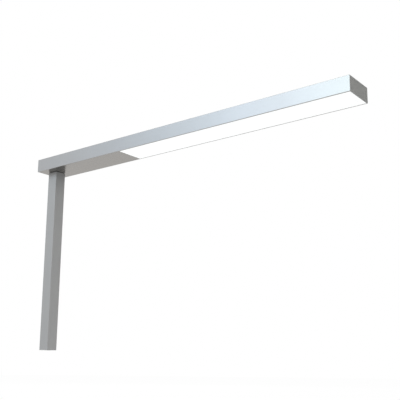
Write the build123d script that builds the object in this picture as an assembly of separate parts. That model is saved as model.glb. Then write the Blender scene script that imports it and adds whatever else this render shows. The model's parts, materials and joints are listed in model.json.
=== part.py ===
"""Light bar on a square post: an aluminium head with an opal window, swivelling on a post.

Millimetres. +Z is up. The origin is the middle of the post's bottom face, which is also
the middle of its bolt pattern. +X runs along the head, from the swivel to the free end.
"""

from build123d import *
from math import asin, cos, degrees, hypot, radians, tan
import os

# ---- Head, outside ----
head_length = 900.0
head_width = 78.0
head_height = 33.0
head_wall = 2.5
head_edge = 0.8          # edge rounding of the profile and the end caps
axis_inset = 32.0        # post end of the head to the swivel axis
window_inset = 298.0     # post end of the head to the start of the opal window
end_plate = 1.5          # plate of each end cap

# ---- Head, inside ----
snap_rib_height = 2.6    # underside to the ribs that the diffuser and cover snap onto
snap_rib_thickness = 1.2
snap_rib_depth = 2.0
channel_depth = 5.0      # screw channels under the roof
channel_rib = 2.0
side_channel_offset = 24.0
spigot_depth = 8.0
spigot_thickness = 3.2
spigot_low_gap = 2.4     # snap ribs to the spigots
spigot_high_gap = 3.0    # spigots to the tongue
tongue_length = 9.0
tongue_thickness = 2.5
tongue_margin = 7.0      # side wall to the tongue's edge
screw_edge = 0.5         # screw head to the tongue's end
relief_margin = 1.0      # cut for the lead, beyond the middle channel

# ---- Cover, diffuser and light engine ----
cover_thickness = 2.4
diffuser_thickness = 2.2
diffuser_recess = 0.2
snap_leg = 1.3
snap_hook = 1.2
clip_sheet = 0.6
clip_length = 14.0
clip_foot = 8.0
clip_pairs = 4
clip_margin = 26.0       # last clip to the window
tray_sheet = 0.7
tray_roof_width = 53.2
tray_side_gap = 0.5      # tray edge to the diffuser's legs
tray_gap = 0.5           # tray to the diffuser and to the far end cap
tray_start_gap = 1.0     # window's start to the tray
notch_height = 5.0
board_width = 20.0
board_thickness = 1.6
board_gap = 3.0          # between the two boards
board_margin = 3.0       # board to the tray's end walls
board_screws_each = 3
board_screw_margin = 20.0
package_length = 3.5
package_width = 2.8
package_height = 0.7
package_row = 6.0        # each row of packages to the middle line
packages_in_row = 20
package_margin = 7.0
connector_length = 10.0
connector_width = 8.0
connector_height = 3.0
connector_inset = 1.0

# ---- Driver ----
driver_inset = 98.0      # post end of the head to the driver case
driver_length = 150.0
driver_width = 42.0
driver_height = 20.0
ear_length = 10.0
ear_width = 60.0
ear_thickness = 2.0
driver_edge = 1.5
input_plug_length = 14.0
input_plug_width = 28.0
output_plug_length = 12.0
output_plug_width = 14.0
plug_height = 9.0
plug_gap = 1.5           # driver's ears to its plugs

# ---- Post ----
post_size = 30.0
post_wall = 2.0
post_length = 464.0
post_edge = 0.5
post_corner_inside = 0.6
plug_fit = 0.05          # plug to the tube's inside, each side
top_plug_height = 26.0
foot_plug_height = 30.0
side_screw_pitch = 12.0  # between the two side screws of a plug
side_screw_first = 8.0   # first side screw to the plug's outer end
bolt_spacing = 16.0
bolt_hole_radius = 2.1   # tapped M5
bolt_hole_depth = 20.0
lead_hole_radius = 5.0
grommet_flange_radius = 7.3
grommet_flange = 2.0
grommet_recess = 0.5
grommet_length = 9.0
grommet_bore_radius = 3.0
supply_lead_radius = 2.0
coupler_width = 12.0
coupler_depth = 9.0
coupler_length = 24.0
coupler_corner = 1.0
coupler_wall = 1.2
coupler_gap = 14.0       # foot plug to the coupler

# ---- Swivel ----
swivel_gap = 1.0         # post top to the head's underside
swivel_range = 90.0      # degrees each way
running_gap = 0.05       # radial and axial, between what turns and what stands
spindle_radius = 6.0
spindle_bore_radius = 3.5
spindle_in_plug = 22.0
spindle_flat = 5.0       # axis to the flats that key the stop washer
collar_radius = 12.0
collar_clearance = 1.0   # collar to the cover's hole
collar_height = 3.0
thrust_washer_thickness = 1.0
washer_clearance = 0.1
block_front = 27.0       # axis to the block's face towards the window
block_back = 17.0        # axis to the block's face towards the post end
block_width = 64.0
bush_wall = 1.5
bush_flange = 1.5
lower_sleeve = 4.0
upper_sleeve = 4.0
bush_space = 1.0         # between the two sleeves
upper_flange_radius = 9.0
nut_well_radius = 14.0
stop_washer_thickness = 1.0
stop_washer_radius = 10.0
stop_sector_radius = 13.4
stop_slack = 0.5         # degrees from the pin to the sector at the limit
stop_pin_radius = 1.25
stop_pin_offset = 12.0
stop_pin_height = 3.5
stop_pin_depth = 3.0
spring_washer_radius = 10.0
spring_washer_sheet = 0.8
spring_washer_rise = 0.4
nut_flats = 18.0
nut_height = 5.0
spindle_above_nut = 0.5
lead_slot_width = 8.0
lead_slot_depth = 3.0
lead_roof_gap = 0.9
lead_split_depth = 4.0   # spindle top to where its lead meets the head's
block_screw_x = (-9.0, 20.0)
block_screw_length = 12.0

# ---- Button in the post end cap ----
button_travel = 0.8
button_radius = 4.45
button_proud = 1.0       # cap beyond the bezel
button_shoulder = 5.2
button_shoulder_length = 1.0
button_stem_radius = 2.0
bezel_collar_radius = 7.0
bezel_collar = 0.8
bezel_radius = 6.0
bezel_bore_radius = 5.3
bezel_mouth = 1.5        # mouth's length behind the end cap's outer face
bezel_depth = 8.0
button_clearance = 0.05
button_board_inset = 11.0
button_board_width = 24.0
button_board_height = 15.0
standoff_radius = 2.2
standoff_spacing = 18.0
board_screw_reach = 5.0  # button board's screws into the standoffs
switch_size = 6.0
switch_height = 3.6
plunger_radius = 1.75
plunger_proud = 1.2
plunger_length = 1.9
plunger_clearance = 0.1
plunger_end_gap = 0.2
spring_radius = 4.8
spring_wire_radius = 0.25
spring_turns = 4
spring_end_gap = 0.05
button_lead_radius = 0.9
output_lead_radius = 1.5

# ---- Leads inside the head ----
lead_straight = 9.0      # a lead's straight run at a driver plug
supply_lead_bends = (4.2, 18.0, 9.0)
output_lead_bends = (14.0, 14.0)
output_lead_straight = 14.0
button_lead_bends = (5.0, 16.0, 6.0)
button_lead_turn = 5.0   # swivel block to where the button's lead turns inwards
button_lead_inset = 4.0  # plug's side to the button's lead

# ---- Screws: thread radius, head radius, head height, socket across flats ----
m4 = (1.95, 3.5, 4.0, 3.0)
m3 = (1.45, 2.75, 2.0, 2.0)
m2 = (0.95, 1.9, 1.2, 1.3)
thread_clearance = 0.05
head_clearance = 0.3
screw_end_gap = 0.4      # screw tip to the roof of its channel
countersunk_radius = 3.7
countersunk_height = 1.8
side_screw_end_gap = 0.6 # side screw tip to the spindle's hole
side_hole_extra = 0.5    # hole beyond the side screw's tip

# ---- Places that follow from the sizes above ----
underside = post_length + swivel_gap
head_top = underside + head_height
roof = head_top - head_wall
seat = roof - channel_depth
half_width = head_width / 2
inner_half = half_width - head_wall
post_end = -axis_inset
far_end = head_length - axis_inset
profile_start = post_end + end_plate
profile_end = far_end - end_plate
window_start = post_end + window_inset
panel_fit = 0.15         # cover and diffuser to each other, the walls and the caps
panel_half = inner_half - panel_fit
rib_low = underside + snap_rib_height
rib_top = rib_low + snap_rib_thickness
rib_edge = inner_half - snap_rib_depth
snap_fit = 0.2
plug_half = post_size / 2 - post_wall - plug_fit

tray_start = window_start + tray_start_gap
tray_end = profile_end - tongue_length - tray_gap
tray_low = underside + diffuser_recess + diffuser_thickness + tray_gap
tray_half = rib_edge - snap_fit - snap_leg - tray_side_gap
board_top = seat - tray_sheet
board_low = board_top - board_thickness
board_length = (tray_end - tray_start - 2 * (tray_sheet + board_margin) - board_gap) / 2
inner_board = tray_start + tray_sheet + board_margin
outer_board = inner_board + board_length + board_gap

driver_start = post_end + driver_inset
driver_end = driver_start + driver_length
driver_low = seat - driver_height
plug_low = seat - ear_thickness - plug_gap - plug_height
plug_middle = plug_low + plug_height / 2

collar_low = post_length
thrust_low = collar_low + collar_height
thrust_top = thrust_low + thrust_washer_thickness
block_low = thrust_top + running_gap
bush_bore = spindle_radius + running_gap
bush_outer = spindle_radius + bush_wall
sleeve_low = block_low + bush_flange
well_floor = sleeve_low + lower_sleeve + bush_space + upper_sleeve
upper_flange_top = well_floor + bush_flange
stop_low = upper_flange_top + running_gap
stop_top = stop_low + stop_washer_thickness
nut_low = stop_top + spring_washer_sheet + spring_washer_rise
nut_top = nut_low + nut_height
spindle_top = nut_top + spindle_above_nut
lead_split = spindle_top - lead_split_depth
head_lead_height = roof - supply_lead_radius - lead_roof_gap
side_screw_tip = spindle_radius + side_screw_end_gap
screw_tip = roof - screw_end_gap

button_z = underside + head_height / 2
bezel_face = post_end - bezel_collar
cap_face = bezel_face - button_proud
shoulder_front = post_end + bezel_mouth + button_clearance
shoulder_back = shoulder_front + button_shoulder_length
board_face = post_end + button_board_inset
switch_face = board_face - switch_height
plunger_tip = switch_face - plunger_proud
board_back = board_face + board_thickness


def block(x0, x1, y0, y1, z0, z1):
    """A box between two corners."""
    return Pos((x0 + x1) / 2, (y0 + y1) / 2, (z0 + z1) / 2) * Box(x1 - x0, y1 - y0, z1 - z0)


def upright(x, y, z0, z1, radius):
    """A cylinder along Z."""
    return Pos(x, y, (z0 + z1) / 2) * Cylinder(radius, z1 - z0)


def along_x(x0, x1, y, z, radius):
    """A cylinder along X."""
    return Pos((x0 + x1) / 2, y, z) * Rot(0, 90, 0) * Cylinder(radius, x1 - x0)


def along_y(x, y0, y1, z, radius):
    """A cylinder along Y."""
    return Pos(x, (y0 + y1) / 2, z) * Rot(90, 0, 0) * Cylinder(radius, y1 - y0)


def rectangle(y0, y1, z0, z1):
    """A rectangle of a cross-section, drawn in Y and Z."""
    return Pos((y0 + y1) / 2, (z0 + z1) / 2) * Rectangle(y1 - y0, z1 - z0)


def extruded(section, x0, x1):
    """A Y-Z cross-section drawn out along X."""
    return extrude(Plane.YZ.offset(x0) * section, amount=x1 - x0)


def cap_screw(x, y, head_seat, tip, size):
    """A socket screw driven upwards, its head under head_seat."""
    thread, head, height, flats = size
    body = upright(x, y, head_seat - height, head_seat, head) + upright(x, y, head_seat, tip, thread)
    socket = extrude(Pos(x, y, head_seat - height) * RegularPolygon(flats / 2, 6, False), height / 2)
    return body - socket


def lead(points, radius, bends):
    """A round lead through the points, with an arc of the given radius at each corner."""
    corners = [Vector(*point) for point in points]
    edges = []
    start = corners[0]
    for before, corner, after, bend in zip(corners, corners[1:], corners[2:], bends):
        back = (before - corner).normalized()
        ahead = (after - corner).normalized()
        half_turn = radians(180 - back.get_angle(ahead)) / 2
        cut = bend * tan(half_turn)
        middle = corner + (back + ahead).normalized() * (bend / cos(half_turn) - bend)
        edges.append(Line(start, corner + back * cut))
        edges.append(ThreePointArc(corner + back * cut, middle, corner + ahead * cut))
        start = corner + ahead * cut
    edges.append(Line(start, corners[-1]))
    path = Wire([part.edge() for part in edges])
    section = Plane(origin=corners[0], z_dir=corners[1] - corners[0]) * Circle(radius)
    return sweep(section, path=path)


# ---- Head: casing ----
def channel(y, slot):
    """Two ribs under the roof that a screw of the slot's width cuts its thread in."""
    outer = slot / 2 + channel_rib
    left = rectangle(y - outer, y - slot / 2, seat, roof)
    right = rectangle(y + slot / 2, y + outer, seat, roof)
    return left + right


def slot_width(size):
    return 2 * (size[0] + thread_clearance)


def profile_outline(z_low):
    outline = rectangle(-half_width, half_width, z_low, head_top)
    return fillet(outline.vertices(), head_edge)


def make_head_profile():
    section = profile_outline(underside) - rectangle(-inner_half, inner_half, underside - 1, roof)
    for side in (-1, 1):
        low, high = sorted((side * rib_edge, side * inner_half))
        section += rectangle(low, high, rib_low, rib_top)
        section += channel(side * side_channel_offset, slot_width(m4))
    section += channel(0, slot_width(m3))
    profile = extruded(section, profile_start, profile_end)
    relief_half = slot_width(m3) / 2 + channel_rib + relief_margin
    relief_end = driver_start - input_plug_length - ear_length
    return profile - block(profile_start, relief_end, -relief_half, relief_half, seat - 1, roof)


def end_cap(outer_x, inward):
    """An end plate with two side spigots and a tongue under the screw channels."""
    inner_x = outer_x + inward * end_plate
    low, high = sorted((outer_x, inner_x))
    plate = extruded(profile_outline(underside), low, high)
    face = plate.faces().sort_by(Axis.X)[-1 if inward < 0 else 0]
    plate = chamfer(face.outer_wire().edges(), head_edge / 2)
    low, high = sorted((inner_x, inner_x + inward * spigot_depth))
    for side in (-1, 1):
        near, far = sorted((side * (inner_half - panel_fit), side * (inner_half - spigot_thickness)))
        plate += block(low, high, near, far, rib_top + spigot_low_gap,
                       seat - tongue_thickness - spigot_high_gap)
    low, high = sorted((inner_x, inner_x + inward * tongue_length))
    tongue_half = inner_half - tongue_margin
    plate += block(low, high, -tongue_half, tongue_half, seat - tongue_thickness, seat)
    for x, y in cap_screw_places(inner_x, inward):
        plate -= upright(x, y, seat - tongue_thickness - 1, seat + 1, m4[0] + head_clearance)
    return plate


def cap_screw_places(inner_x, inward):
    x = inner_x + inward * (tongue_length - m4[1] - screw_edge)
    return [(x, side * side_channel_offset) for side in (-1, 1)]


def make_far_end_cap():
    return end_cap(far_end, -1)


def make_post_end_cap():
    cap = end_cap(post_end, 1)
    cap -= along_x(post_end - 1, profile_start + 1, 0, button_z, bezel_radius)
    for side in (-1, 1):
        y = side * standoff_spacing / 2
        cap += along_x(profile_start - 0.5, board_face, y, button_z, standoff_radius)
        cap -= along_x(profile_start + 1, board_face + 1, y, button_z, m2[0])
    return cap


def make_end_cap_screws():
    places = cap_screw_places(profile_end, -1) + cap_screw_places(profile_start, 1)
    return Compound([cap_screw(x, y, seat - tongue_thickness, screw_tip, m4) for x, y in places])


def make_underside_cover():
    start = profile_start + panel_fit
    cover = block(start, window_start - panel_fit, -panel_half, panel_half,
                  underside, underside + cover_thickness)
    hole = collar_radius + collar_clearance
    return cover - upright(0, 0, underside - 1, underside + cover_thickness + 1, hole)


def make_cover_clips():
    foot = underside + cover_thickness
    outer = rib_edge - snap_fit
    section = rectangle(outer - clip_foot, outer, foot, foot + clip_sheet)
    section += rectangle(outer - clip_sheet, outer, foot, rib_top + snap_fit + clip_sheet)
    section += rectangle(outer - clip_sheet, outer + snap_hook, rib_top + snap_fit,
                         rib_top + snap_fit + clip_sheet)
    first = block_front + clip_length
    pitch = (window_start - clip_margin - first) / (clip_pairs - 1)
    clips = []
    for number in range(clip_pairs):
        x = first + number * pitch
        clip = extruded(section, x - clip_length / 2, x + clip_length / 2)
        clips += [clip, mirror(clip, Plane.XZ)]
    return Compound(clips)


# ---- Head: light engine ----
def make_diffuser():
    low = underside + diffuser_recess
    high = low + diffuser_thickness
    section = rectangle(-panel_half, panel_half, low, high)
    outer = rib_edge - snap_fit
    hook_low = rib_top + snap_fit
    for side in (-1, 1):
        near, far = sorted((side * outer, side * (outer - snap_leg)))
        section += rectangle(near, far, low, hook_low + snap_leg)
        near, far = sorted((side * (outer + snap_hook), side * (outer - snap_leg)))
        section += rectangle(near, far, hook_low, hook_low + snap_leg)
    return extruded(section, window_start + panel_fit, profile_end - panel_fit)


def trapezium(half_low, half_high, z_low, z_high):
    corners = [(-half_low, z_low), (half_low, z_low), (half_high, z_high), (-half_high, z_high)]
    return make_face(Polyline(*corners, close=True))


def make_reflector_tray():
    half_roof = tray_roof_width / 2
    slope = (tray_half - half_roof) / (seat - tray_low)
    across = tray_sheet * hypot(1, slope)
    outer = trapezium(tray_half, half_roof, tray_low, seat)
    low_half = tray_half - across + slope
    high_half = half_roof - across + slope * tray_sheet
    inner = trapezium(low_half, high_half, tray_low - 1, board_top)
    tray = extruded(outer, tray_start, tray_end)
    tray -= extruded(inner, tray_start + tray_sheet, tray_end - tray_sheet)
    notch = connector_width / 2
    tray -= block(tray_start - 1, tray_start + tray_sheet + 1, -notch, notch,
                  board_low - notch_height, board_top)
    for x in board_screw_places():
        tray -= upright(x, 0, board_top - 1, seat + 1, m3[0] + head_clearance)
    return tray


def board_screw_places():
    pitch = (board_length - 2 * board_screw_margin) / (board_screws_each - 1)
    return [start + board_screw_margin + number * pitch
            for start in (inner_board, outer_board) for number in range(board_screws_each)]


def led_board(start):
    board = block(start, start + board_length, -board_width / 2, board_width / 2, board_low, board_top)
    for x in board_screw_places():
        if start < x < start + board_length:
            board -= upright(x, 0, board_low - 1, board_top + 1, m3[0] + head_clearance)
    return board


def make_led_board_inner():
    return led_board(inner_board)


def make_led_board_outer():
    return led_board(outer_board)


def make_led_packages():
    pitch = (board_length - 2 * package_margin) / (packages_in_row - 1)
    packages = []
    for start in (inner_board, outer_board):
        for number in range(packages_in_row):
            x = start + package_margin + number * pitch
            for y in (-package_row, package_row):
                packages.append(block(x - package_length / 2, x + package_length / 2,
                                      y - package_width / 2, y + package_width / 2,
                                      board_low - package_height, board_low))
    return Compound(packages)


def make_board_screws():
    return Compound([cap_screw(x, 0, board_low, screw_tip, m3) for x in board_screw_places()])


def make_board_connector():
    start = inner_board + connector_inset
    half = connector_width / 2
    return block(start, start + connector_length, -half, half, board_low - connector_height, board_low)


def make_board_link():
    middle = inner_board + board_length + board_gap / 2
    half = connector_width / 2
    return block(middle - connector_length, middle + connector_length, -half, half,
                 board_low - connector_height, board_low)


# ---- Head: driver and leads ----
def driver_screw_places():
    xs = (driver_start - ear_length / 2, driver_end + ear_length / 2)
    return [(x, side * side_channel_offset) for x in xs for side in (-1, 1)]


def make_led_driver():
    half = driver_width / 2
    case = block(driver_start, driver_end, -half, half, driver_low, seat)
    case = fillet(case.edges().filter_by(Axis.X), driver_edge)
    case += block(driver_start - ear_length, driver_end + ear_length, -ear_width / 2, ear_width / 2,
                  seat - ear_thickness, seat)
    for x, y in driver_screw_places():
        case -= upright(x, y, seat - ear_thickness - 1, seat + 1, m4[0] + head_clearance)
    return case


def make_driver_screws():
    low = seat - ear_thickness
    return Compound([cap_screw(x, y, low, screw_tip, m4) for x, y in driver_screw_places()])


def make_driver_input_plug():
    half = input_plug_width / 2
    return block(driver_start - input_plug_length, driver_start, -half, half,
                 plug_low, plug_low + plug_height)


def make_driver_output_plug():
    half = output_plug_width / 2
    return block(driver_end, driver_end + output_plug_length, -half, half,
                 plug_low, plug_low + plug_height)


def make_head_supply_lead():
    plug_x = driver_start - input_plug_length
    points = [(0, 0, lead_split), (0, 0, head_lead_height), (block_front + 1, 0, head_lead_height),
              (plug_x - lead_straight, 0, plug_middle), (plug_x, 0, plug_middle)]
    return lead(points, supply_lead_radius, supply_lead_bends)


def make_output_lead():
    plug_x = driver_end + output_plug_length
    connector_z = board_low - connector_height / 2
    connector_x = inner_board + connector_inset
    points = [(plug_x, 0, plug_middle), (plug_x + lead_straight, 0, plug_middle),
              (connector_x - output_lead_straight, 0, connector_z), (connector_x, 0, connector_z)]
    return lead(points, output_lead_radius, output_lead_bends)


def make_button_lead():
    plug_x = driver_start - input_plug_length
    start_x = board_face + board_thickness / 2
    side_y = inner_half - (inner_half - block_width / 2) / 2
    plug_y = input_plug_width / 2 - button_lead_inset
    points = [(start_x, button_board_width / 2, button_z), (start_x, side_y, button_z),
              (block_front + button_lead_turn, side_y, button_z),
              (plug_x - lead_straight, plug_y, plug_middle), (plug_x, plug_y, plug_middle)]
    return lead(points, button_lead_radius, button_lead_bends)


# ---- Head: swivel block ----
def block_screw_places():
    return [(x, side * side_channel_offset) for x in block_screw_x for side in (-1, 1)]


def make_swivel_block():
    half = block_width / 2
    body = block(-block_back, block_front, -half, half, block_low, seat)
    body -= upright(0, 0, block_low - 1, sleeve_low, collar_radius)
    body -= upright(0, 0, block_low - 1, seat + 1, bush_outer)
    body -= upright(0, 0, well_floor, seat + 1, nut_well_radius)
    slot = lead_slot_width / 2
    body -= block(0, block_front + 1, -slot, slot, seat - lead_slot_depth, seat + 1)
    body -= upright(-stop_pin_offset, 0, well_floor - stop_pin_depth, well_floor + 1, stop_pin_radius)
    head_seat = screw_tip - block_screw_length
    for x, y in block_screw_places():
        body -= upright(x, y, block_low - 1, head_seat, m4[1] + head_clearance)
        body -= upright(x, y, block_low - 1, seat + 1, m4[0] + head_clearance)
    return body


def make_swivel_block_screws():
    head_seat = screw_tip - block_screw_length
    return Compound([cap_screw(x, y, head_seat, screw_tip, m4) for x, y in block_screw_places()])


def make_lower_bush():
    bush = upright(0, 0, block_low, sleeve_low, collar_radius)
    bush += upright(0, 0, sleeve_low, sleeve_low + lower_sleeve, bush_outer)
    return bush - upright(0, 0, block_low - 1, sleeve_low + lower_sleeve + 1, bush_bore)


def make_upper_bush():
    bush = upright(0, 0, well_floor, upper_flange_top, upper_flange_radius)
    bush += upright(0, 0, well_floor - upper_sleeve, well_floor, bush_outer)
    return bush - upright(0, 0, well_floor - upper_sleeve - 1, upper_flange_top + 1, bush_bore)


def make_stop_pin():
    return upright(-stop_pin_offset, 0, well_floor - stop_pin_depth, well_floor + stop_pin_height,
                   stop_pin_radius)


# ---- Head: button ----
def make_button_bezel():
    collar = along_x(bezel_face, post_end, 0, button_z, bezel_collar_radius)
    collar = fillet(collar.edges().sort_by(Axis.X)[0], bezel_collar / 2)
    body = collar + along_x(post_end, post_end + bezel_depth, 0, button_z, bezel_radius)
    mouth = button_radius + button_clearance
    body -= along_x(bezel_face - 1, post_end + bezel_mouth + 1, 0, button_z, mouth)
    return body - along_x(post_end + bezel_mouth, post_end + bezel_depth + 1, 0, button_z, bezel_bore_radius)


def make_button_board():
    half = button_board_width / 2
    board = block(board_face, board_back, -half, half,
                  button_z - button_board_height / 2, button_z + button_board_height / 2)
    for side in (-1, 1):
        board -= along_x(board_face - 1, board_back + 1, side * standoff_spacing / 2, button_z,
                         m2[0] + thread_clearance)
    return board


def make_button_board_screws():
    thread, head, height = m2[:3]
    screws = []
    for side in (-1, 1):
        y = side * standoff_spacing / 2
        screw = along_x(board_back, board_back + height, y, button_z, head)
        screws.append(screw + along_x(board_face - board_screw_reach, board_back, y, button_z, thread))
    return Compound(screws)


def make_tact_switch():
    half = switch_size / 2
    body = block(switch_face, board_face, -half, half, button_z - half, button_z + half)
    well_end = switch_face + plunger_length - plunger_proud + button_travel + plunger_end_gap
    return body - along_x(switch_face - 1, well_end, 0, button_z, plunger_radius + plunger_clearance)


def make_button_spring():
    start = shoulder_back + spring_end_gap + spring_wire_radius
    length = board_face - spring_end_gap - spring_wire_radius - start
    helix = Helix(length / spring_turns, length, spring_radius, center=(start, 0, button_z),
                  direction=(1, 0, 0))
    section = Plane(origin=helix @ 0, z_dir=helix % 0) * Circle(spring_wire_radius)
    return sweep(section, path=helix, is_frenet=True)


def make_button_cap():
    cap = along_x(cap_face, shoulder_front, 0, button_z, button_radius)
    cap = fillet(cap.edges().sort_by(Axis.X)[0], button_proud / 2)
    cap += along_x(shoulder_front, shoulder_back, 0, button_z, button_shoulder)
    return cap + along_x(shoulder_back, plunger_tip, 0, button_z, button_stem_radius)


def make_switch_plunger():
    return along_x(plunger_tip, plunger_tip + plunger_length, 0, button_z, plunger_radius)


# ---- Post ----
def square_tube(size, corner):
    outline = Rectangle(size, size)
    return fillet(outline.vertices(), corner)


def side_screw_places(outer_end, inward):
    first = outer_end + inward * side_screw_first
    return [first, first + inward * side_screw_pitch]


def side_screw(z):
    """A countersunk screw from the post's back face."""
    face = post_size / 2
    cone = Cone(countersunk_radius, m4[0], countersunk_height)
    head = Pos(0, face - countersunk_height / 2, z) * Rot(90, 0, 0) * cone
    socket = along_y(0, face - countersunk_height / 2, face + 1, z, m4[3] / 2)
    return head + along_y(0, side_screw_tip, face - countersunk_height, z, m4[0]) - socket


def side_screw_hole(z):
    face = post_size / 2
    cone = Cone(countersunk_radius + thread_clearance, m4[0] + thread_clearance, countersunk_height)
    head = Pos(0, face - countersunk_height / 2, z) * Rot(90, 0, 0) * cone
    return head + along_y(0, side_screw_tip - side_hole_extra, face - countersunk_height, z,
                          m4[0] + thread_clearance)


def make_post_tube():
    bore = post_size - 2 * post_wall
    section = square_tube(post_size, post_edge) - square_tube(bore, post_corner_inside)
    tube = extrude(section, amount=post_length)
    for z in side_screw_places(0, 1) + side_screw_places(post_length, -1):
        tube -= side_screw_hole(z)
    return tube


def plug(z0, z1):
    return Pos(0, 0, z0) * extrude(square_tube(2 * plug_half, post_corner_inside), amount=z1 - z0)


def make_post_top_plug():
    body = plug(post_length - top_plug_height, post_length)
    body -= upright(0, 0, post_length - top_plug_height - 1, post_length + 1, spindle_radius)
    for z in side_screw_places(post_length, -1):
        body -= side_screw_hole(z)
    return body


def make_foot_plug():
    body = plug(0, foot_plug_height)
    body -= upright(0, 0, -1, foot_plug_height + 1, lead_hole_radius)
    body -= upright(0, 0, -1, grommet_recess + grommet_flange, grommet_flange_radius)
    for x in (-bolt_spacing / 2, bolt_spacing / 2):
        for y in (-bolt_spacing / 2, bolt_spacing / 2):
            body -= upright(x, y, -1, bolt_hole_depth, bolt_hole_radius)
    for z in side_screw_places(0, 1):
        body -= side_screw_hole(z)
    return body


def make_post_top_screws():
    return Compound([side_screw(z) for z in side_screw_places(post_length, -1)])


def make_foot_screws():
    return Compound([side_screw(z) for z in side_screw_places(0, 1)])


def make_cable_grommet():
    body = upright(0, 0, grommet_recess, grommet_recess + grommet_flange, grommet_flange_radius)
    body += upright(0, 0, grommet_recess, grommet_recess + grommet_length, lead_hole_radius)
    return body - upright(0, 0, grommet_recess - 1, grommet_recess + grommet_length + 1, grommet_bore_radius)


def make_supply_coupler():
    low = foot_plug_height + coupler_gap
    shell = block(-coupler_width / 2, coupler_width / 2, -coupler_depth / 2, coupler_depth / 2,
                  low, low + coupler_length)
    shell = fillet(shell.edges().filter_by(Axis.Z), coupler_corner)
    half_width = coupler_width / 2 - coupler_wall
    half_depth = coupler_depth / 2 - coupler_wall
    mouth = block(-half_width, half_width, -half_depth, half_depth, low - 1, low + coupler_length / 2)
    return shell - mouth


def make_post_supply_lead():
    low = foot_plug_height + coupler_gap + coupler_length
    return upright(0, 0, low, lead_split, supply_lead_radius)


# ---- Post: what the head turns on ----
def make_pivot_spindle():
    spindle = upright(0, 0, post_length - spindle_in_plug, spindle_top, spindle_radius)
    for side in (-1, 1):
        near, far = sorted((side * spindle_flat, side * (spindle_radius + 1)))
        spindle -= block(-spindle_radius, spindle_radius, near, far, upper_flange_top, spindle_top + 1)
    spindle += upright(0, 0, collar_low, thrust_low, collar_radius)
    return spindle - upright(0, 0, post_length - spindle_in_plug - 1, spindle_top + 1, spindle_bore_radius)


def make_thrust_washer():
    outer = upright(0, 0, thrust_low, thrust_top, collar_radius)
    return outer - upright(0, 0, thrust_low - 1, thrust_top + 1, spindle_radius + washer_clearance)


def make_stop_washer():
    """A keyed washer whose wide sector meets the stop pin at each end of the swing."""
    pin_half_angle = degrees(asin(stop_pin_radius / stop_pin_offset))
    half_angle = 180 - swivel_range - pin_half_angle - stop_slack
    start = Vector(stop_sector_radius, 0, 0).rotate(Axis.Z, -half_angle)
    end = Vector(start.X, -start.Y, 0)
    rim = ThreePointArc(start, (stop_sector_radius, 0), end)
    sector = make_face([Line((0, 0), start), rim, Line(end, (0, 0))])
    washer = Pos(0, 0, stop_low) * extrude(sector, stop_washer_thickness)
    washer += upright(0, 0, stop_low, stop_top, stop_washer_radius)
    bore = upright(0, 0, stop_low - 1, stop_top + 1, spindle_radius + washer_clearance)
    key = spindle_flat + washer_clearance
    wide = 2 * spindle_radius
    return washer - (bore & block(-wide, wide, -key, key, stop_low - 1, stop_top + 1))


def make_spring_washer():
    inner = spindle_radius + washer_clearance
    rise = spring_washer_rise
    sheet = spring_washer_sheet
    corners = [(inner, stop_top + rise), (spring_washer_radius, stop_top),
               (spring_washer_radius, stop_top + sheet), (inner, stop_top + rise + sheet)]
    return revolve(Plane.XZ * make_face(Polyline(*corners, close=True)), Axis.Z)


def make_lock_nut():
    nut = extrude(Pos(0, 0, nut_low) * RegularPolygon(nut_flats / 2, 6, False), nut_height)
    return nut - upright(0, 0, nut_low - 1, nut_top + 1, spindle_radius)


NODES = {
    "post_tube": make_post_tube,
    "post_top_plug": make_post_top_plug,
    "post_top_screws": make_post_top_screws,
    "foot_plug": make_foot_plug,
    "foot_screws": make_foot_screws,
    "cable_grommet": make_cable_grommet,
    "supply_coupler": make_supply_coupler,
    "post_supply_lead": make_post_supply_lead,
    "pivot_spindle": make_pivot_spindle,
    "thrust_washer": make_thrust_washer,
    "stop_washer": make_stop_washer,
    "spring_washer": make_spring_washer,
    "lock_nut": make_lock_nut,
    "head_profile": make_head_profile,
    "far_end_cap": make_far_end_cap,
    "post_end_cap": make_post_end_cap,
    "end_cap_screws": make_end_cap_screws,
    "underside_cover": make_underside_cover,
    "cover_clips": make_cover_clips,
    "diffuser": make_diffuser,
    "reflector_tray": make_reflector_tray,
    "led_board_inner": make_led_board_inner,
    "led_board_outer": make_led_board_outer,
    "led_packages": make_led_packages,
    "board_screws": make_board_screws,
    "board_connector": make_board_connector,
    "board_link": make_board_link,
    "led_driver": make_led_driver,
    "driver_screws": make_driver_screws,
    "driver_input_plug": make_driver_input_plug,
    "driver_output_plug": make_driver_output_plug,
    "head_supply_lead": make_head_supply_lead,
    "output_lead": make_output_lead,
    "button_lead": make_button_lead,
    "swivel_block": make_swivel_block,
    "swivel_block_screws": make_swivel_block_screws,
    "lower_bush": make_lower_bush,
    "upper_bush": make_upper_bush,
    "stop_pin": make_stop_pin,
    "button_bezel": make_button_bezel,
    "button_board": make_button_board,
    "button_board_screws": make_button_board_screws,
    "tact_switch": make_tact_switch,
    "button_spring": make_button_spring,
    "button_cap": make_button_cap,
    "switch_plunger": make_switch_plunger,
}

os.makedirs("parts", exist_ok=True)
for name, make in NODES.items():
    export_step(make(), f"parts/{name}.step")
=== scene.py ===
"""Looks of the light bar: finishes on its parts, soft studio light and the camera. Metres."""

import json
from math import cos, pi, sin

import bpy
from mathutils import Euler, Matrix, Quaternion, Vector


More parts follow.
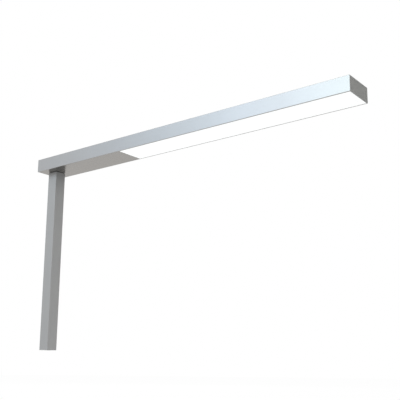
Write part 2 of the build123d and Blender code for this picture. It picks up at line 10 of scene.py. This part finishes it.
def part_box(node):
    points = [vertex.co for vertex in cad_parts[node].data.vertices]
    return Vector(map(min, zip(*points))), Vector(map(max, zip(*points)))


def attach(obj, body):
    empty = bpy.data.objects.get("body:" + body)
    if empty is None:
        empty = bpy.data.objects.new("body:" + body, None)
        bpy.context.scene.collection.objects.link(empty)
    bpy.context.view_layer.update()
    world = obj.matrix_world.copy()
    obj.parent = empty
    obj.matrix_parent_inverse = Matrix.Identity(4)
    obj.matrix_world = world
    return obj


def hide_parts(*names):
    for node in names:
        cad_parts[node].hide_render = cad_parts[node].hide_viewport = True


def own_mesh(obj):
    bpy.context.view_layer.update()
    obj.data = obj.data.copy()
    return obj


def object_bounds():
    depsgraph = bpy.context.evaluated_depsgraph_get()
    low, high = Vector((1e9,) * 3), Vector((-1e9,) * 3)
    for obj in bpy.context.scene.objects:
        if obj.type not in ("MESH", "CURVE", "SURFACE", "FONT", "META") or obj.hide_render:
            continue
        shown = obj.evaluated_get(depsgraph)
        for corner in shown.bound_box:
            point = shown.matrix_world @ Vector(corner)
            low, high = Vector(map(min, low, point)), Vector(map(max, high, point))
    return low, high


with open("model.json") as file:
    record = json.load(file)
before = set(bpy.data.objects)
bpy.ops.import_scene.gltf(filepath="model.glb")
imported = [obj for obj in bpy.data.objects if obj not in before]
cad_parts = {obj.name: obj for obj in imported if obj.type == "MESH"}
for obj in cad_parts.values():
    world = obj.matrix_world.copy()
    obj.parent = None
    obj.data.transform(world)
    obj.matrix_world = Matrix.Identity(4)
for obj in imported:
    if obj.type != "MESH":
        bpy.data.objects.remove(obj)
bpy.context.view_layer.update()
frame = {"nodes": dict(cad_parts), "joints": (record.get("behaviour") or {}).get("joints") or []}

# ---- Camera: angles in radians, lens and sensor in millimetres ----
CAMERA_PLACE = (1.39003, -1.16376, -0.0550)
CAMERA_PITCH = 0.20474        # above level
CAMERA_TURN = 0.66102         # from +Y towards -X
CAMERA_ROLL = 0.00861
CAMERA_LENS = 62.07
CAMERA_SENSOR = 36.0
CAMERA_SHIFT = 0.0761         # the view is framed above the middle

# ---- Room and floor ----
ROOM_LIGHT = 0.95             # on matt surfaces; gloss reflects plain white
ROOM_TINT = (0.97, 0.98, 1.0)
FLOOR_DROP = 0.12             # below the foot
FLOOR_SIZE = 24.0
FLOOR_GLOW = 0.94             # share of plain white in the floor; the rest takes the shadows

# ---- Key light: a row of panels in front of the bar, bluer towards -X ----
KEY_DISTANCE = 1.9
KEY_HEIGHT = 1.35
KEY_SIZE = (0.6, 0.9)
KEY_AIM_ALONG = 0.4           # how much further along X a panel aims
KEY_AIM_HEIGHT = 0.45
KEY_PANELS = (                # place along X, radiance and tint
    (-1.5, 0.35, (0.30, 0.60, 1.0)),
    (-0.9, 1.2, (0.58, 0.82, 1.0)),
    (-0.3, 2.2, (0.68, 0.80, 1.0)),
    (0.3, 3.2, (0.82, 1.0, 0.98)),
    (0.9, 1.2, (0.86, 1.0, 0.92)),
)

# ---- Other lamps, and the grey card past the free end ----
SOFTBOXES = (                 # name, place, target, size, radiance and tint
    ("low_fill", (-2.3, -1.9, 0.3), (0.0, 0.0, 0.2), (1.6, 1.0), 0.25, (0.70, 0.85, 1.0)),
    ("front_high", (2.1, -1.7, 1.3), (0.4, 0.0, 0.5), (0.8, 0.8), 2.5, (1.0, 0.99, 0.97)),
    ("overhead", (-0.4, 0.5, 2.0), (-0.1, 0.1, 0.5), (0.8, 0.8), 2.0, (1.0, 1.0, 1.0)),
    ("back_high", (-1.3, 2.1, 1.4), (-0.4, 0.0, 0.45), (1.0, 1.0), 1.5, (1.0, 0.98, 0.95)),
    ("back_low", (-0.9, 2.0, 0.6), (0.1, 0.0, 0.45), (0.8, 0.6), 1.5, (0.88, 0.95, 1.0)),
)
CARD_PLACE = (1.7, 1.4, 0.8)
CARD_AIM = (0.5, 0.0, 0.4)
CARD_SIZE = (1.6, 1.4)
CARD_GREY = (0.60, 0.60, 0.58)
CARD_ROUGHNESS = 0.8

# ---- Colours, linear ----
HEAD_METAL = (0.395, 0.395, 0.395)
# The post's metal is the head's finish painted a little lighter: painted light on the post.
POST_METAL_PAINTED_LIGHT = (0.415, 0.415, 0.415)
# The end caps' metal is the head's finish painted darker: painted shade on the end faces.
END_METAL_PAINTED_SHADE = (0.368, 0.368, 0.368)
# The cover's metal is the head's finish painted darker and warmer: painted shade on the underside and
# a painted warm reflection of the floor. Its smoother finish is its own.
COVER_METAL_PAINTED_SHADE_AND_REFLECTION = (0.340, 0.333, 0.328)
GRAZING_TINT = (0.84, 0.82, 0.79)   # what the oxide layer leaves of a reflection at a low angle
BUTTON_METAL = (0.49, 0.49, 0.50)
MILLED = (0.62, 0.62, 0.63)
ZINC = (0.47, 0.48, 0.50)
TURNED = (0.50, 0.50, 0.51)
SPRING = (0.36, 0.37, 0.39)
BRONZE = (0.42, 0.25, 0.10)
BLACK_PLASTIC = (0.018, 0.018, 0.020)
WHITE_PLASTIC = (0.72, 0.72, 0.70)
DRIVER_WHITE = (0.78, 0.78, 0.76)
RUBBER = (0.016, 0.016, 0.016)
SHEATH = (0.028, 0.028, 0.030)
OPAL = (0.93, 0.94, 0.94)
OPAL_LIT_EDGE = (0.90, 0.92, 0.94)
OPAL_LIT = (1.0, 1.0, 1.0)
SHEET_WHITE = (0.86, 0.86, 0.85)
MASK_WHITE = (0.82, 0.83, 0.82)
MASK_GREEN = (0.012, 0.10, 0.035)
TRACK_GREEN = (0.0264, 0.22, 0.077)
TRACK_WHITE = (0.70, 0.69, 0.64)
PHOSPHOR = (0.85, 0.62, 0.10)
FLOOR_WHITE = (0.90, 0.885, 0.865)

# ---- Finishes ----
POST_SATIN = 0.64             # roughness of each anodised part
HEAD_SATIN = 0.35
COVER_SATIN = 0.26
END_SATIN = 0.35
BUTTON_SATIN = 0.24
ALONG_X = (8.0, 1500.0, 1500.0)     # how often drawn lines change along X, Y and Z, in a metre
ALONG_Y = (1500.0, 8.0, 1500.0)
ALONG_Z = (1500.0, 1500.0, 8.0)
TRACK_BREAKS = (60.0, 12.0, 12.0)   # how often a board's tracks stop, in the same way
OPAL_GLOW = 0.13              # what the opal panel sends out, besides what it reflects

# ---- Button's spring ----
SPRING_WIRE = 0.0005          # diameter
SPRING_TURNS = 4
STEPS_A_TURN = 36
WIRE_SIDES = 10


class Signal:
    """A node's output, on which plain arithmetic adds Math nodes."""

    def __init__(self, look, socket):
        self.look = look
        self.socket = socket

    def __add__(self, other):
        return self.look.maths("ADD", self, other)

    def __sub__(self, other):
        return self.look.maths("SUBTRACT", self, other)

    def __rsub__(self, other):
        return self.look.maths("SUBTRACT", other, self)

    def __mul__(self, other):
        return self.look.maths("MULTIPLY", self, other)

    def __truediv__(self, other):
        return self.look.maths("DIVIDE", self, other)

    __radd__ = __add__
    __rmul__ = __mul__

    def clamped(self):
        return self.look.maths("MINIMUM", self.look.maths("MAXIMUM", self, 0.0), 1.0)

    def above(self, edge, softness):
        """0 below the edge and 1 above it, with a soft step."""
        return ((self - edge) / softness + 0.5).clamped()

    def swing(self, width):
        """A signal of 0 to 1 as a swing about 0, so wide from end to end."""
        return (self - 0.5) * width


class Look:
    """A material's or a world's nodes, and the one way that they are made."""

    def __init__(self, owner, output="ShaderNodeOutputMaterial"):
        owner.use_nodes = True
        self.owner = owner
        self.tree = owner.node_tree
        self.tree.nodes.clear()
        self.output = self.tree.nodes.new(output)

    def node(self, kind, settings=None, values=(), output=0):
        """A node of the kind: its settings first, then its inputs by place or by name."""
        made = self.tree.nodes.new(kind)
        for name, value in (settings or {}).items():
            setattr(made, name, value)
        pairs = values.items() if isinstance(values, dict) else enumerate(values)
        for key, value in pairs:
            if isinstance(value, Signal):
                self.tree.links.new(value.socket, made.inputs[key])
            else:
                made.inputs[key].default_value = value
        return Signal(self, made.outputs[output])

    def maths(self, operation, *values):
        return self.node("ShaderNodeMath", {"operation": operation}, values)

    def place(self):
        return self.node("ShaderNodeTexCoord", output="Object")

    def component(self, vector, axis):
        """One of the X, Y and Z of a vector."""
        return self.node("ShaderNodeSeparateXYZ", values=[vector], output=axis)

    def stretched(self, vector, scale):
        return self.node("ShaderNodeVectorMath", {"operation": "MULTIPLY"}, [vector, scale])

    def noise(self, vector, scale, detail):
        return self.node("ShaderNodeTexNoise", values={
            "Vector": vector, "Scale": scale, "Detail": detail, "Roughness": 0.55})

    def mix(self, factor, first, second):
        settings = {"data_type": "RGBA", "blend_type": "MIX"}
        values = {"Factor": factor, 6: opaque(first), 7: opaque(second)}   # 6 and 7 are the colours
        return self.node("ShaderNodeMix", settings, values, output=2)

    def tones(self, factor, colour, darkest, palest):
        """The colour, changing between two shades of its own."""
        return self.mix(factor, shade(colour, darkest), shade(colour, palest))

    def bump(self, height, depth, strength=1.0):
        return self.node("ShaderNodeBump", values={
            "Height": height, "Distance": depth, "Strength": strength})

    def show(self, shader):
        """Wires the shader to the output."""
        self.tree.links.new(shader.socket, self.output.inputs["Surface"])
        return self.owner

    def surface(self, values):
        return self.show(self.node("ShaderNodeBsdfPrincipled", values=values))


def material_look(name):
    return Look(bpy.data.materials.new(name))


def opaque(colour):
    """A colour with its alpha, or a Signal as it is."""
    return colour if isinstance(colour, Signal) else (*colour, 1.0)


def shade(colour, factor):
    return tuple(min(1.0, channel * factor) for channel in colour)


# ---- How each finish is made ----
def anodised(name, colour, satin, grain, depth=0.000009):
    """Satin anodised aluminium with fine drawn lines along the grain."""
    look = material_look(name)
    place = look.place()
    lines = look.noise(look.stretched(place, grain), scale=1.0, detail=4.0)
    clouds = look.noise(place, scale=22.0, detail=2.0)
    handled = look.noise(place, scale=5.0, detail=1.0)
    return look.surface({
        "Base Color": look.tones(lines * 0.6 + clouds * 0.4, colour, darkest=0.93, palest=1.07),
        "Metallic": 1.0,
        "Specular Tint": opaque(GRAZING_TINT),
        "Roughness": satin + lines.swing(0.08) + handled.swing(0.08),
        "Normal": look.bump(lines, depth),
    })


def turned_metal(name, colour, roughness, pitch=0.0004, depth=0.000006):
    """Metal off a lathe or a plating bath: rings up the height, a pitch apart, and a fine grain."""
    look = material_look(name)
    place = look.place()
    waver = look.noise(place, scale=90.0, detail=2.0)
    speckle = look.noise(place, scale=1400.0, detail=2.0)
    rings = look.maths("SINE", look.component(place, "Z") * (2 * pi / pitch) + waver * 2.0)
    return look.surface({
        "Base Color": look.tones(speckle * 0.6 + waver * 0.4, colour, darkest=0.88, palest=1.08),
        "Metallic": 1.0,
        "Roughness": roughness + waver.swing(0.16) + speckle.swing(0.06),
        "Normal": look.bump(rings, depth, strength=0.5),
    })


def moulded(name, colour, roughness, grain=1800.0, depth=0.000012, coat=0.0):
    """Moulded plastic or rubber with a fine spark texture and faint flow marks."""
    look = material_look(name)
    place = look.place()
    spark = look.noise(place, scale=grain, detail=2.0)
    flow = look.noise(place, scale=35.0, detail=3.0)
    return look.surface({
        "Base Color": look.tones(spark * 0.5 + flow * 0.5, colour, darkest=0.90, palest=1.07),
        "Roughness": roughness + spark.swing(0.10) + flow.swing(0.08),
        "Coat Weight": coat,
        "Normal": look.bump(spark, depth, strength=0.6),
    })


def sprayed(name, colour, roughness, depth=0.00003):
    """Powder coat: a low orange peel and a little change in tone."""
    look = material_look(name)
    place = look.place()
    peel = look.noise(place, scale=420.0, detail=1.0)
    cloud = look.noise(place, scale=14.0, detail=2.0)
    return look.surface({
        "Base Color": look.tones(cloud, colour, darkest=0.97, palest=1.02),
        "Roughness": roughness + peel.swing(0.12),
        "Normal": look.bump(peel, depth, strength=0.5),
    })


def printed_board(name, mask, track, track_pitch, roughness=0.38, depth=0.00003):
    """Solder mask over copper: the tracks show as slightly raised, paler stripes."""
    look = material_look(name)
    place = look.place()
    lane = look.maths("FRACT", look.component(place, "Y") / track_pitch)
    breaks = look.noise(look.stretched(place, TRACK_BREAKS), scale=1.0, detail=1.0)
    copper = lane.above(edge=0.55, softness=0.06) * breaks.above(edge=0.42, softness=0.04)
    fibre = look.noise(place, scale=900.0, detail=2.0)
    return look.surface({
        "Base Color": look.mix(copper * 0.55 + fibre * 0.15, mask, track),
        "Roughness": roughness + fibre.swing(0.10),
        "Normal": look.bump(copper, depth, strength=0.5),
    })


def opal_plastic(name, roughness=0.42, side_fall=0.02, depth=0.00001):
    """Opal acrylic lit from behind: an even white, a touch dimmer towards its two sides."""
    look = material_look(name)
    place = look.place()
    low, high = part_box("diffuser")
    across = look.maths("ABSOLUTE", look.component(place, "Y") / ((high.y - low.y) / 2))
    frost = look.noise(place, scale=700.0, detail=2.0)
    glow = 1.0 - across * across * side_fall + frost.swing(0.01)
    return look.surface({
        "Base Color": look.tones(frost, OPAL, darkest=0.98, palest=1.0),
        "Roughness": roughness + frost.swing(0.10),
        "Emission Color": look.mix(glow, OPAL_LIT_EDGE, OPAL_LIT),
        "Emission Strength": OPAL_GLOW,
        "Normal": look.bump(frost, depth, strength=0.4),
    })


def lamp_package(name, roughness=0.45):
    """A white lamp package with its yellow phosphor on the face that looks down."""
    look = material_look(name)
    downward = 0.0 - look.component(look.node("ShaderNodeNewGeometry", output="Normal"), "Z")
    grain = look.noise(look.place(), scale=2500.0, detail=2.0)
    phosphor = look.tones(grain, PHOSPHOR, darkest=0.9, palest=1.0)
    return look.surface({
        "Base Color": look.mix(downward.above(edge=0.5, softness=0.2), MASK_WHITE, phosphor),
        "Roughness": roughness + grain.swing(0.2),
    })


# Each finish and the parts that it goes on.
FINISHES = (
    (anodised("anodised_head", HEAD_METAL, HEAD_SATIN, ALONG_X), "head_profile"),
    # The cover's finish carries painted shade and a painted warm reflection of the floor.
    (anodised("anodised_cover_painted_shade_and_reflection", COVER_METAL_PAINTED_SHADE_AND_REFLECTION, COVER_SATIN, ALONG_X), "underside_cover"),
    # The post's finish carries painted light: a lighter copy of the head's metal.
    (anodised("anodised_post_painted_light", POST_METAL_PAINTED_LIGHT, POST_SATIN, ALONG_Z), "post_tube"),
    # The end caps' finish carries painted shade: a darker copy of the head's metal.
    (anodised("anodised_ends_painted_shade", END_METAL_PAINTED_SHADE, END_SATIN, ALONG_Y), "far_end_cap post_end_cap"),
    (anodised("button_metal", BUTTON_METAL, BUTTON_SATIN, ALONG_Y), "button_bezel button_cap"),
    (turned_metal("milled_aluminium", MILLED, roughness=0.36, pitch=0.0009),
     "post_top_plug foot_plug swivel_block"),
    (turned_metal("zinc_plate", ZINC, roughness=0.34),
     "post_top_screws foot_screws end_cap_screws board_screws driver_screws swivel_block_screws "
     "button_board_screws lock_nut"),
    (turned_metal("turned_steel", TURNED, roughness=0.26), "pivot_spindle stop_washer stop_pin"),
    (turned_metal("spring_steel", SPRING, roughness=0.30), "spring_washer cover_clips button_spring"),
    (turned_metal("bronze_bush", BRONZE, roughness=0.38), "thrust_washer lower_bush upper_bush"),
    (moulded("black_moulding", BLACK_PLASTIC, roughness=0.45), "tact_switch switch_plunger"),
    (moulded("white_moulding", WHITE_PLASTIC, roughness=0.42),
     "supply_coupler board_connector board_link driver_input_plug driver_output_plug"),
    (moulded("driver_case", DRIVER_WHITE, roughness=0.30, coat=0.2), "led_driver"),
    (moulded("black_rubber", RUBBER, roughness=0.62, grain=900.0, depth=0.00003), "cable_grommet"),
    (moulded("lead_sheath", SHEATH, roughness=0.52, grain=1200.0),
     "post_supply_lead head_supply_lead output_lead button_lead"),
    (opal_plastic("opal_lit"), "diffuser"),
    (sprayed("white_sheet", SHEET_WHITE, roughness=0.5), "reflector_tray"),
    (printed_board("lamp_board", MASK_WHITE, TRACK_WHITE, track_pitch=0.004),
     "led_board_inner led_board_outer"),
    (printed_board("green_board", MASK_GREEN, TRACK_GREEN, track_pitch=0.0016), "button_board"),
    (lamp_package("lamp_package"), "led_packages"),
)

finish_of = {}
for finish, part_names in FINISHES:
    for part_name in part_names.split():
        finish_of[part_name] = finish
        mesh = frame["nodes"][part_name].data
        mesh.materials.clear()
        mesh.materials.append(finish)


# ---- The button's spring: a drawn coil in place of the part's own ----
def wire_ring(at, outward, along):
    """The points of the wire's round section where the coil passes."""
    side = along.cross(outward)
    turns = [2 * pi * corner / WIRE_SIDES for corner in range(WIRE_SIDES)]
    return [at + (outward * cos(turn) + side * sin(turn)) * SPRING_WIRE / 2 for turn in turns]


def wire_faces(last):
    """The wire's two ends, and the quads between its rings, up to the last ring."""
    first_end = tuple(range(WIRE_SIDES))[::-1]
    last_end = tuple(range(last * WIRE_SIDES, (last + 1) * WIRE_SIDES))
    faces = [first_end, last_end]
    for step in range(last):
        for corner in range(WIRE_SIDES):
            here = step * WIRE_SIDES + corner
            beside = step * WIRE_SIDES + (corner + 1) % WIRE_SIDES
            faces.append((here, beside, beside + WIRE_SIDES, here + WIRE_SIDES))
    return faces


def coil_spring(name, low, high, finish):
    """A coil along X that fills the space between the two corners."""
    radius = (high.y - low.y - SPRING_WIRE) / 2
    centre = (low + high) / 2
    length = high.x - low.x - SPRING_WIRE
    rise = length / (2 * pi * SPRING_TURNS)
    last = SPRING_TURNS * STEPS_A_TURN
    points = []
    for step in range(last + 1):
        angle = 2 * pi * step / STEPS_A_TURN
        outward = Vector((0.0, cos(angle), sin(angle)))
        along = Vector((rise, -radius * sin(angle), radius * cos(angle))).normalized()
        at = Vector((low.x + SPRING_WIRE / 2 + length * step / last, centre.y, centre.z))
        points += wire_ring(at + outward * radius, outward, along)
    mesh = bpy.data.meshes.new(name)
    mesh.from_pydata(points, [], wire_faces(last))
    mesh.shade_smooth()
    mesh.materials.append(finish)
    spring = bpy.data.objects.new(name, mesh)
    bpy.context.scene.collection.objects.link(spring)
    return spring


spring_low, spring_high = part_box("button_spring")
press = next(joint for joint in frame["joints"] if joint["name"] == "button_press")
travel = max(press["range_m"])
spring = coil_spring("button_coil", spring_low, spring_high, finish_of["button_spring"])
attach(spring, "head")
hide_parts("button_spring")
1 - travel / (spring_high.x - spring_low.x)
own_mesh(spring)


# ---- Studio ----
def add_sheet(name, place, turn, size, finish):
    """A flat rectangle of the studio, which isn't part of the object."""
    half_x = size[0] / 2
    half_y = size[1] / 2
    corners = [(-half_x, -half_y, 0), (half_x, -half_y, 0), (half_x, half_y, 0), (-half_x, half_y, 0)]
    mesh = bpy.data.meshes.new(name)
    mesh.from_pydata(corners, [], [(0, 1, 2, 3)])
    mesh.materials.append(finish)
    sheet = bpy.data.objects.new(name, mesh)
    sheet.location = place
    sheet.rotation_euler = turn
    bpy.context.scene.collection.objects.link(sheet)
    return sheet


def aimed(place, target, axis):
    """The turn that points the axis from the place to the target."""
    return (Vector(target) - Vector(place)).to_track_quat(axis, "Y").to_euler()


def seen_directly(look):
    """1 for the rays that show the background: from the camera, off gloss and through glass."""
    names = ("Is Camera Ray", "Is Glossy Ray", "Is Transmission Ray")
    camera, glossy, clear = [look.node("ShaderNodeLightPath", output=name) for name in names]
    return (camera + glossy + clear).clamped()


def floor_paint(name):
    """Pale matt paint on the floor's upper side; from underneath the floor hides nothing."""
    look = material_look(name)
    cloud = look.noise(look.place(), scale=3.0, detail=3.0)
    paint = look.node("ShaderNodeBsdfPrincipled", values={
        "Base Color": look.tones(cloud, FLOOR_WHITE, darkest=0.99, palest=1.0),
        "Roughness": 0.9, "Specular IOR Level": 0.0})
    white = look.node("ShaderNodeEmission", values={"Color": (1.0, 1.0, 1.0, 1.0), "Strength": 1.0})
    upper = look.node("ShaderNodeMixShader", values=[seen_directly(look) * FLOOR_GLOW, paint, white])
    underneath = look.node("ShaderNodeNewGeometry", output="Backfacing")
    clear = look.node("ShaderNodeBsdfTransparent")
    return look.show(look.node("ShaderNodeMixShader", values=[underneath, upper, clear]))


def add_floor():
    low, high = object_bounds()
    place = ((low.x + high.x) / 2, (low.y + high.y) / 2, low.z - FLOOR_DROP)
    add_sheet("floor", place, (0.0, 0.0, 0.0), (FLOOR_SIZE, FLOOR_SIZE), floor_paint("floor_paint"))


def add_room():
    """The world: room light on matt surfaces, and plain white behind everything."""
    world = bpy.data.worlds.new("studio")
    look = Look(world, "ShaderNodeOutputWorld")
    room = look.node("ShaderNodeBackground", values=[opaque(ROOM_TINT), ROOM_LIGHT])
    white = look.node("ShaderNodeBackground", values=[(1.0, 1.0, 1.0, 1.0), 1.0])
    look.show(look.node("ShaderNodeMixShader", values=[seen_directly(look), room, white]))
    bpy.context.scene.world = world


def add_softbox(name, place, target, size, radiance, tint):
    """An area lamp whose front glows at the radiance, where 1 is as bright as the background."""
    data = bpy.data.lights.new(name, "AREA")
    data.shape = "RECTANGLE"
    data.size = size[0]
    data.size_y = size[1]
    data.energy = radiance * pi * size[0] * size[1]
    data.color = tint
    lamp = bpy.data.objects.new(name, data)
    lamp.location = place
    lamp.rotation_euler = aimed(place, target, "-Z")
    bpy.context.scene.collection.objects.link(lamp)


def add_key_panels():
    for number, (panel_x, radiance, tint) in enumerate(KEY_PANELS):
        place = (panel_x, -KEY_DISTANCE, KEY_HEIGHT)
        target = (panel_x + KEY_AIM_ALONG, 0.0, KEY_AIM_HEIGHT)
        add_softbox(f"key_panel_{number}", place, target, KEY_SIZE, radiance, tint)


def add_card():
    """A grey card for the metal to reflect, which the camera doesn't see."""
    paint = sprayed("grey_card", CARD_GREY, CARD_ROUGHNESS)
    card = add_sheet("side_card", CARD_PLACE, aimed(CARD_PLACE, CARD_AIM, "Z"), CARD_SIZE, paint)
    card.visible_camera = False


def add_camera():
    data = bpy.data.cameras.new("camera")
    data.lens = CAMERA_LENS
    data.sensor_width = CAMERA_SENSOR
    data.shift_y = CAMERA_SHIFT
    camera = bpy.data.objects.new("camera", data)
    camera.location = CAMERA_PLACE
    level = Euler((pi / 2 + CAMERA_PITCH, 0.0, CAMERA_TURN)).to_quaternion()
    camera.rotation_euler = (level @ Quaternion((0.0, 0.0, 1.0), CAMERA_ROLL)).to_euler()
    bpy.context.scene.collection.objects.link(camera)
    bpy.context.scene.camera = camera


add_floor()
add_room()
add_key_panels()
for softbox in SOFTBOXES:
    add_softbox(*softbox)
add_card()
add_camera()
bpy.context.scene.view_settings.view_transform = "Standard"
